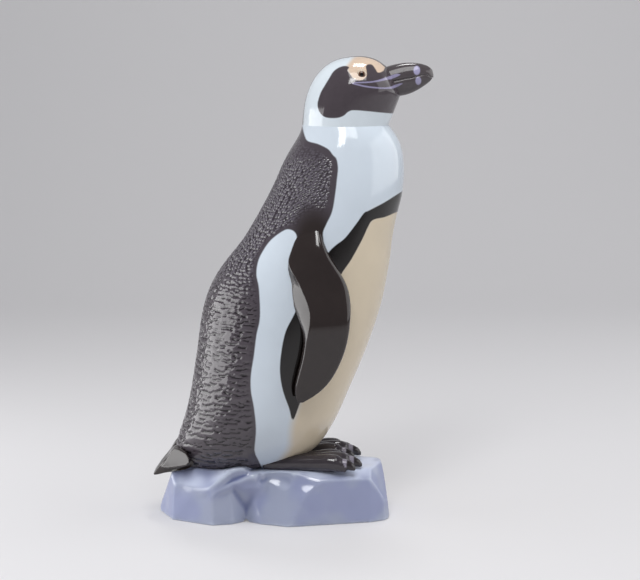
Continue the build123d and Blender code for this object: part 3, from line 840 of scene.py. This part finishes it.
# %% Eyes
EYE_RINGS, EYE_AROUND, EYE_POLE = 40, 48, 0.02
PUPIL_RADIUS, IRIS_RADIUS, IRIS_SOFTNESS = 1.25, 2.2, 0.25
PUPIL_BLACK, IRIS_BROWN, RIM_PALE = srgb("#0C0807"), srgb("#5E3F2E"), srgb("#CBBBA8")
EYE_ROUGHNESS = 0.04

# A thicker drop of glaze over the eye: smoother than the rest, so its highlight is small and sharp
eye_paint, tree, shader, place = glaze("porcelain_underglaze_eye", EYE_ROUGHNESS)
iris = painted(tree, PUPIL_BLACK, IRIS_BROWN, "from_axis", IRIS_SOFTNESS, PUPIL_RADIUS)
rim = painted(tree, iris, RIM_PALE, "from_axis", IRIS_SOFTNESS, IRIS_RADIUS)
tree.links.new(rim, shader.inputs["Base Color"])
polar = np.linspace(EYE_POLE, math.pi - EYE_POLE, EYE_RINGS)[:, None]
turn = np.linspace(0, 2 * math.pi, EYE_AROUND, endpoint=False)[None, :]
ball = (np.sin(polar) * np.cos(turn), np.cos(polar) + 0 * turn, np.sin(polar) * np.sin(turn))
for name in ("right_eye", "left_eye"):
    low, high = (np.array(corner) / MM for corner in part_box(name))
    middle, radius = (low + high) / 2, (high[0] - low[0]) / 2
    eye = skin(f"{name}_dome", middle + radius * np.stack(ball, axis=-1))
    offset = points_of(eye) - middle
    write_values(eye, "from_axis", np.hypot(offset[:, 0], offset[:, 2]))
    finish_piece(eye, eye_paint, "eye_glaze", name)

# %% [markdown]
# ## The tail
#
# The tail is a short wedge that droops over the back edge of the ice, with one broad feather along each
# side. All three are plates cut from their outlines in the photograph and given depth. A voxel remesh
# fuses them as the modeller's slip does, and shallow grooves that meet at the tip part the stiff
# feathers on top.

# %% Fusing wet clay
SPONGE_FACTOR = 0.5


def sponge(piece, rounds):
    """Smooths a mesh as a wet sponge does clay."""
    smooth = piece.modifiers.new("sponge", "SMOOTH")
    smooth.factor = SPONGE_FACTOR
    smooth.iterations = rounds
    settle(piece)


def fuse(name, parts, voxel, rounds):
    """One mesh from overlapping closed ones, smoothed as wet clay is."""
    builder = bmesh.new()
    for part in parts:
        builder.from_mesh(part.data)
        bpy.data.objects.remove(part)
    fused = add_mesh(name, builder)
    remesh = fused.modifiers.new("fuse", "REMESH")
    remesh.mode = "VOXEL"
    remesh.voxel_size = voxel * MM
    settle(fused)
    sponge(fused, rounds)
    for face in fused.data.polygons:
        face.use_smooth = True
    return fused


# %% Tail
TAIL_WEDGE = (
    (194.0, 463.0), (187.0, 457.0), (178.0, 455.0), (171.5, 453.5), (165.0, 459.5), (158.5, 466.5),
    (153.5, 473.5), (156.0, 475.0), (165.0, 473.0), (176.0, 471.5), (188.0, 469.0),
)
TAIL_FEATHER = (
    (173.0, 449.5), (180.0, 450.0), (187.0, 455.0), (189.0, 464.0), (180.0, 467.6), (170.0, 468.6),
    (161.0, 467.2), (165.5, 460.5),
)
# Column in pixels, and how far to the side a plate lies there in millimetres
WEDGE_SIDES, FEATHER_SIDES = ((153.0, -6.0), (187.0, -20.0)), ((161.0, -10.5), (189.0, -30.0))
FEATHER_LEAN, FEATHER_THICKNESS = 0.12, 14.0
TAIL_VOXEL, TAIL_ROUNDS = 0.5, 4
TAIL_BLADES, GROOVE_DEPTH = 5, 0.6


def tail_plate(outline, sides, way=1, lean=0.0, thickness=None):
    """A plate cut from its outline, leaning in at the top; without a thickness it reaches the far side."""
    pixels = rounded(outline)
    side = np.interp(pixels[:, 0], *np.array(sides).T) + lean * (pixels[:, 1].max() - pixels[:, 1])
    outside = on_plane(pixels, side)
    inside = outside.copy()
    inside[:, 1] = -side if thickness is None else side + thickness
    return skin("tail_plate", mirrored(np.array((outside, inside)), way))


wedge = tail_plate(TAIL_WEDGE, WEDGE_SIDES)
feathers = [tail_plate(TAIL_FEATHER, FEATHER_SIDES, way, FEATHER_LEAN, FEATHER_THICKNESS) for way in (1, -1)]
tail = fuse("tail_feathers", [wedge, *feathers], TAIL_VOXEL, TAIL_ROUNDS)
spots, outward = points_of(tail), normals_of(tail)
across = spots[:, 1] / np.interp(near_side(tail)[:, 0], *np.array(FEATHER_SIDES).T)
groove = 1 - np.sqrt(np.abs(np.cos(across * math.pi * TAIL_BLADES / 2)))
spots -= outward * (GROOVE_DEPTH * groove * np.clip(outward[:, 2], 0, 1))[:, None]
move_points(tail, spots)
finish_piece(tail, flipper_paint, "flipper_glaze", "tail")

# %% [markdown]
# ## The feet
#
# A penguin's foot is three thick toes on a web, with stout claws. Each toe is a row of ovals, high at
# the knuckle; the web is a low wedge between them. The pieces overlap and are fused by a voxel remesh
# and a little smoothing, as clay is, so no seams show between toe and web.

# %% Toes and web
FOOT_HEEL = np.array((-19.0, -17.0, 34.0))
TOE_LENGTHS, TOE_TURNS = (54.0, 57.5, 54.0), (-10.0, 0.0, 10.0)
# Distance as a share of the toe, or in millimetres past its tip; then height and radius in millimetres
TOE_SECTIONS = (
    (0.0, 3.5, 5.0), (0.35, 4.6, 5.2), (0.65, 5.0, 5.3), (0.82, 5.4, 5.6), (0.93, 4.6, 5.0), (1.0, 2.6, 3.2),
)
CLAW_SECTIONS = ((-4.0, 4.8, 3.6), (0.0, 4.6, 3.5), (3.0, 3.8, 3.0), (5.2, 2.8, 2.2), (6.4, 2.0, 1.0))
TOE_ROWS, CLAW_ROWS, TOE_AROUND = 48, 16, 32
WEB_SHARE, WEB_ROWS = 0.86, 20
WEB_FLOOR, WEB_HEIGHT, WEB_FALL = -1.0, 4.2, 2.6
UP = np.array((0.0, 0.0, 1.0))


def toe_rings(sections, start, way, rows):
    """Rings along a toe from distances, middle heights and radii."""
    along, tall, radius = np.array(sections).T
    at = np.linspace(along[0], along[-1], rows)
    tall, radius = follow(along, tall, at)[:, None], follow(along, radius, at)[:, None]
    turn = np.linspace(0, 2 * math.pi, TOE_AROUND, endpoint=False)[None, :]
    side = np.array((-way[1], way[0], 0.0))
    centre = start + at[:, None, None] * np.array((*way, 0.0))
    across = (radius * np.cos(turn))[..., None] * side
    return centre + across + (tall + radius * np.sin(turn))[..., None] * UP


def web_rings(right_tip, left_tip):
    """Rings of a low wedge that widens from the heel towards the tips of the outer toes."""
    rings = []
    for share in np.linspace(0.0, WEB_SHARE, WEB_ROWS):
        right, left = (FOOT_HEEL + share * (tip - FOOT_HEEL) for tip in (right_tip, left_tip))
        low, high = WEB_FLOOR * UP, (WEB_HEIGHT - WEB_FALL * share) * UP
        rings.append((left + low, right + low, right + high, left + high))
    return np.array(rings)


# %% Feet
FOOT_VOXEL, FOOT_ROUNDS = 0.7, 4
CLAW_HALF_WIDTH, CLAW_START = 3.4, 1.2
TOE_HIGHLIGHT_HALF_WIDTH, TOE_HIGHLIGHT_LOWEST = 3.6, 3.0
TOE_HIGHLIGHT_HALF_LENGTH, TOE_HIGHLIGHT_PLACE = 1.4, -0.6
FOOT_GREY, TOE_HIGHLIGHT_GREY, CLAW_DARK = srgb("#403B40"), srgb("#8E8996"), srgb("#2E292B")

# Grey underglaze, mottled like scaly skin, under clear glaze: wet toes and dark claws, with a painted
# highlight on top of each toe behind its claw
foot_paint, tree, shader, place = glaze("porcelain_underglaze_foot")
marked = mottled(tree, place, FOOT_GREY, spread=0.2, size=3.0)
# Painted highlight on top of each toe behind its claw
marked = painted(tree, marked, TOE_HIGHLIGHT_GREY, "toe_highlight", softness=0.5)
marked = painted(tree, marked, CLAW_DARK, "claw", softness=0.4)
tree.links.new(marked, shader.inputs["Base Color"])

for name, way in (("right_foot", 1), ("left_foot", -1)):
    rings, tips = [], []
    for length, turn in zip(TOE_LENGTHS, np.radians(TOE_TURNS)):
        heading = np.array((math.cos(turn), math.sin(turn)))
        tip = FOOT_HEEL + length * np.array((*heading, 0.0))
        tips.append((tip, heading))
        rings.append(toe_rings(np.array(TOE_SECTIONS) * (length, 1, 1), FOOT_HEEL, heading, TOE_ROWS))
        rings.append(toe_rings(CLAW_SECTIONS, tip, heading, CLAW_ROWS))
    rings.append(web_rings(tips[0][0], tips[-1][0]))
    parts = [skin("foot_part", mirrored(part_rings, way)) for part_rings in rings]
    foot = fuse(f"{name}_skin", parts, FOOT_VOXEL, FOOT_ROUNDS)
    spots = mirrored(points_of(foot), way)
    claw, toe_highlight = np.full((2, len(spots)), FAR_OUTSIDE)
    # The painted highlight is kept to the tops of the toes, where the light falls
    on_top = spots[:, 2] - FOOT_HEEL[2] > TOE_HIGHLIGHT_LOWEST
    for tip, heading in tips:
        off_tip = (spots - tip)[:, :2]
        ahead, beside = off_tip @ heading, np.abs(off_tip @ np.array((-heading[1], heading[0])))
        claw = np.maximum(claw, np.where(beside < CLAW_HALF_WIDTH, ahead - CLAW_START, FAR_OUTSIDE))
        highlight_span = TOE_HIGHLIGHT_HALF_LENGTH - np.abs(ahead - TOE_HIGHLIGHT_PLACE)
        toe_highlight = np.maximum(toe_highlight, np.where((beside < TOE_HIGHLIGHT_HALF_WIDTH) & on_top, highlight_span, FAR_OUTSIDE))
    write_values(foot, "claw", claw)
    write_values(foot, "toe_highlight", toe_highlight)
    finish_piece(foot, foot_paint, "horn_glaze", name)

# %% [markdown]
# ## The block of ice
#
# The base is modelled as a slab of ice with broad chipped faces. The work starts from a merged copy of
# the CAD casting, remeshed and smoothed, because a thick glaze rounds every edge. The corner between
# the left and the right lump is worn down to a soft crease. Two chips are flattened on the front edge,
# as with a knife, and two ridges are raised along lines read off the photograph. The top faces are
# painted paler: painted light from above. The glaze is bluer where it pools in hollows and paler on
# crests, partly the glaze running thick and thin and partly painted shade and painted highlight: the
# vertices store how far each stands proud of its surroundings, and the colours follow that.

# %% Ridges and chips
# Start and end of each ridge in pixels, then its height and the reach of its slope in millimetres
ICE_RIDGES = (((198.0, 497.0), (264.0, 460.0), 4.6, 5.5), ((206.0, 498.0), (272.0, 473.0), 3.0, 3.6))
RIDGE_DROP, RIDGE_WAY = 1.4, np.array((0.0, -0.5, 0.87))
# Column, row, half width and half height of each chip in pixels
ICE_CHIPS = ((275.5, 480.0, 19.0, 13.0), (310.0, 486.0, 22.0, 18.0))
CHIP_TURN, CHIP_TILT = math.radians(-5.5), math.radians(29.0)
CHIP_DEPTH, CHIP_CORE = 1.0, 0.3


def ridge_height(pixels, start, end, tall, reach):
    """Height of a ridge along a line of pixels: a long slope above the line and a short drop below it."""
    along = np.array(end) - np.array(start)
    length = np.linalg.norm(along)
    along /= length
    from_start = pixels - np.array(start)
    share = np.clip(from_start @ along / length, 0, 1)
    above = (from_start @ np.array((along[1], -along[0]))) * MM_PER_PIXEL
    across = np.exp(-((above / np.where(above > 0, reach, RIDGE_DROP)) ** 2))
    return tall * np.sin(math.pi * share) * across


def chip(spots, outward, pixels, column, row, half_wide, half_tall):
    """Flattens a small facet on the edge of the ice, as a knife does in soft clay."""
    level = math.cos(CHIP_TILT)
    facing = np.array((math.sin(CHIP_TURN) * level, -math.cos(CHIP_TURN) * level, math.sin(CHIP_TILT)))
    reach = np.hypot((pixels[:, 0] - column) / half_wide, (pixels[:, 1] - row) / half_tall)
    near = (reach < 1) & (outward @ facing > 0) & (spots[:, 1] < 0)
    middle = spots[near & (reach < CHIP_CORE)].mean(axis=0) - CHIP_DEPTH * facing
    over = np.where(near, np.maximum((spots - middle) @ facing, 0), 0) * np.clip(1 - reach**2, 0, 1)
    return spots - over[:, None] * facing


def calmed(piece, spots, share, rounds):
    """Moves vertices a share of the way to the mean of their neighbours, several times."""
    pairs = np.empty(2 * len(piece.data.edges), dtype=np.int64)
    piece.data.edges.foreach_get("vertices", pairs)
    first, second = pairs.reshape(-1, 2).T
    neighbours = np.bincount(pairs, minlength=len(spots))[:, None]
    for _ in range(rounds):
        total = np.zeros_like(spots)
        np.add.at(total, first, spots[second])
        np.add.at(total, second, spots[first])
        spots = spots + share * (total / neighbours - spots)
    return spots


# %% Ice
ICE_VOXEL, ICE_ROUNDS, RIDGE_ROUNDS, CREST_ROUNDS = 0.9, 9, 2, 14
ICE_DIMPLE, ICE_DIMPLE_SIZE = 0.45, 11.0
CREASE_COLUMN, CREASE_WIDTH, CREASE_ROUNDS = 261.0, 7.0, 60
DIMPLE_LOWEST, CREASE_LOWEST, RIDGE_LOWEST, RIDGE_SIDE = 2.0, 6.0, 8.0, -10.0
MERGE_DISTANCE = 0.001


def cast_copy(name):
    """A merged copy of a CAD casting, to work on."""
    builder = bmesh.new()
    builder.from_mesh(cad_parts[name].data)
    builder.transform(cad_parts[name].matrix_world)
    bmesh.ops.remove_doubles(builder, verts=builder.verts, dist=MERGE_DISTANCE * MM)
    return add_mesh(f"{name}_copy", builder)


ice = fuse("ice_block", [cast_copy("rock_base")], ICE_VOXEL, ICE_ROUNDS)
spots, outward = points_of(ice), normals_of(ice)
waves = np.array([noise.noise(Vector(spot / ICE_DIMPLE_SIZE)) for spot in spots])
spots += outward * (waves * ICE_DIMPLE * (spots[:, 2] > DIMPLE_LOWEST))[:, None]
pixels = near_side(ice)
crease = np.exp(-(((pixels[:, 0] - CREASE_COLUMN) / CREASE_WIDTH) ** 2))
crease *= (spots[:, 1] < 0) & (spots[:, 2] > CREASE_LOWEST)
spots = calmed(ice, spots, crease[:, None] / 2, CREASE_ROUNDS)
for facet in ICE_CHIPS:
    spots = chip(spots, outward, pixels, *facet)
lifted = sum(ridge_height(pixels, *ridge) for ridge in ICE_RIDGES)
lifted *= (spots[:, 1] < RIDGE_SIDE) & (spots[:, 2] > RIDGE_LOWEST) & (outward @ RIDGE_WAY > 0)
move_points(ice, spots + lifted[:, None] * RIDGE_WAY)
sponge(ice, RIDGE_ROUNDS)
spots = points_of(ice)
spots[:, 2] = np.maximum(spots[:, 2], 0.0)
move_points(ice, spots)
proud = (spots - calmed(ice, spots, 1.0, CREST_ROUNDS)) * normals_of(ice)
write_values(ice, "crest", proud.sum(axis=1))
print("ice stands", spots[:, 2].max().round(1), "mm tall")

# %% Ice glaze
CLOUD_SIZE = 34.0
ICE_SIDE, ICE_TOP_PAINTED_LIGHT, ICE_CLOUD = srgb("#A4ABC2"), srgb("#D4DCF2"), srgb("#989FC0")
ICE_POOL_AND_SHADE, ICE_CREST_AND_HIGHLIGHT = srgb("#6E77A0"), srgb("#C3CBDE")

# A tinted glaze that runs off edges and pools in hollows, with painted light on top, painted shade in hollows
# and painted highlight on crests
ice_paint, tree, shader, place = glaze("porcelain_ice_glaze")
facing = node(tree, "ShaderNodeNewGeometry", out="Normal")
upward = node(tree, "ShaderNodeSeparateXYZ", {0: facing}, "Z")
cloud = {"Vector": place, "Scale": 1 / (CLOUD_SIZE * MM), "Detail": 2.0}
cloud = node(tree, "ShaderNodeTexNoise", cloud, "Fac")
# Faces that look up are painted paler: painted light from above
tint = painted(tree, ICE_SIDE, ICE_TOP_PAINTED_LIGHT, upward, softness=0.25, edge=0.6)
tint = painted(tree, tint, ICE_CLOUD, cloud, softness=0.1, edge=0.52)
# Hollows painted blue-grey: pooled glaze and painted shade
tint = painted(tree, ICE_POOL_AND_SHADE, tint, "crest", softness=0.3, edge=-0.3)
# Crests painted paler: thin glaze and painted highlight
tint = painted(tree, tint, ICE_CREST_AND_HIGHLIGHT, "crest", softness=0.45, edge=0.55)
tree.links.new(tint, shader.inputs["Base Color"])
finish_piece(ice, ice_paint, "ice_glaze", "rock_base")

# %% [markdown]
# ## Studio
#
# A pale floor sweeps up into a backdrop. Five soft boxes and a dim grey world light the glaze, so that
# each shiny form shows a soft window on one side and a darker edge on the other. The low box on the left
# is there for the bevels of the flippers and the tail. The paper shines a little for the camera and in
# mirrors and glass, but gives no extra light to the figure.

# %% Floor and backdrop
FLOOR_HALF_WIDTH, FLOOR_FRONT, FLOOR_BACK, SWEEP_RADIUS, WALL_TOP = 3.0, -2.5, 0.9, 0.6, 2.6
SWEEP_STEPS = 13
PAPER_GREY, PAPER_LIGHT = srgb("#C4C3C5"), srgb("#F2F1F3")
PAPER_ROUGHNESS, PAPER_GLOW = 0.7, 0.22

profile = [(FLOOR_FRONT, 0.0), (FLOOR_BACK, 0.0)]
for bend in np.linspace(0, math.pi / 2, SWEEP_STEPS)[1:]:
    profile.append((FLOOR_BACK + SWEEP_RADIUS * math.sin(bend), SWEEP_RADIUS * (1 - math.cos(bend))))
profile.append((FLOOR_BACK + SWEEP_RADIUS, WALL_TOP))
builder = bmesh.new()
sides = [[builder.verts.new((x, y, z)) for y, z in profile] for x in (-FLOOR_HALF_WIDTH, FLOOR_HALF_WIDTH)]
for i in range(len(profile) - 1):
    builder.faces.new((sides[0][i], sides[1][i], sides[1][i + 1], sides[0][i + 1])).smooth = True
floor = add_mesh("studio_floor", builder)

# Uncoated paper: matt, so it takes soft shadows and shows no lamps
paper = bpy.data.materials.new("studio_paper")
paper.use_nodes = True
tree, sheet = paper.node_tree, paper.node_tree.nodes["Principled BSDF"].inputs
sheet["Base Color"].default_value = PAPER_GREY
sheet["Roughness"].default_value = PAPER_ROUGHNESS
sheet["Emission Color"].default_value = PAPER_LIGHT
ray = node(tree, "ShaderNodeLightPath").node.outputs
seen = ray["Is Camera Ray"]
for kind in ("Is Glossy Ray", "Is Transmission Ray"):
    seen = node(tree, "ShaderNodeMath", {0: seen, 1: ray[kind]}, operation="MAXIMUM")
tree.links.new(product(tree, seen, PAPER_GLOW), sheet["Emission Strength"])
floor.data.materials.append(paper)
print(floor.name, len(floor.data.polygons), "faces")

# %% Lights
# Place and size in metres, then power in watts
SOFT_BOXES = (
    ("left_box", (-0.6, 0.0, 0.16), (0.6, 0.32), 2.4),
    ("front_box", (-0.25, -1.05, 1.25), (0.35, 0.45), 5.5),
    ("right_box", (1.0, 0.0, 0.5), (1.4, 0.8), 5.6),
    ("roof_box", (0.05, -0.42, 0.95), (0.5, 0.5), 4.0),
    ("rear_box", (0.12, 0.48, 1.5), (0.3, 0.3), 4.0),
)
AIM = Vector((0.0, 0.0, 0.15))
AIR_GREY, AIR_STRENGTH = srgb("#C8CAD0"), 0.26
for name, spot, size, power in SOFT_BOXES:
    lamp = bpy.data.lights.new(name, "AREA")
    lamp.shape = "RECTANGLE"
    lamp.size, lamp.size_y = size
    lamp.energy = power
    holder = bpy.data.objects.new(name, lamp)
    holder.location = spot
    holder.visible_camera = False
    holder.rotation_euler = (AIM - Vector(spot)).to_track_quat("-Z", "Y").to_euler()
    bpy.context.scene.collection.objects.link(holder)
    print(name, power, "W")

world = bpy.data.worlds.new("studio_air")
bpy.context.scene.world = world
world.use_nodes = True
air = world.node_tree.nodes["Background"].inputs
air["Color"].default_value = AIR_GREY
air["Strength"].default_value = AIR_STRENGTH
bpy.context.scene.view_settings.view_transform = "Standard"
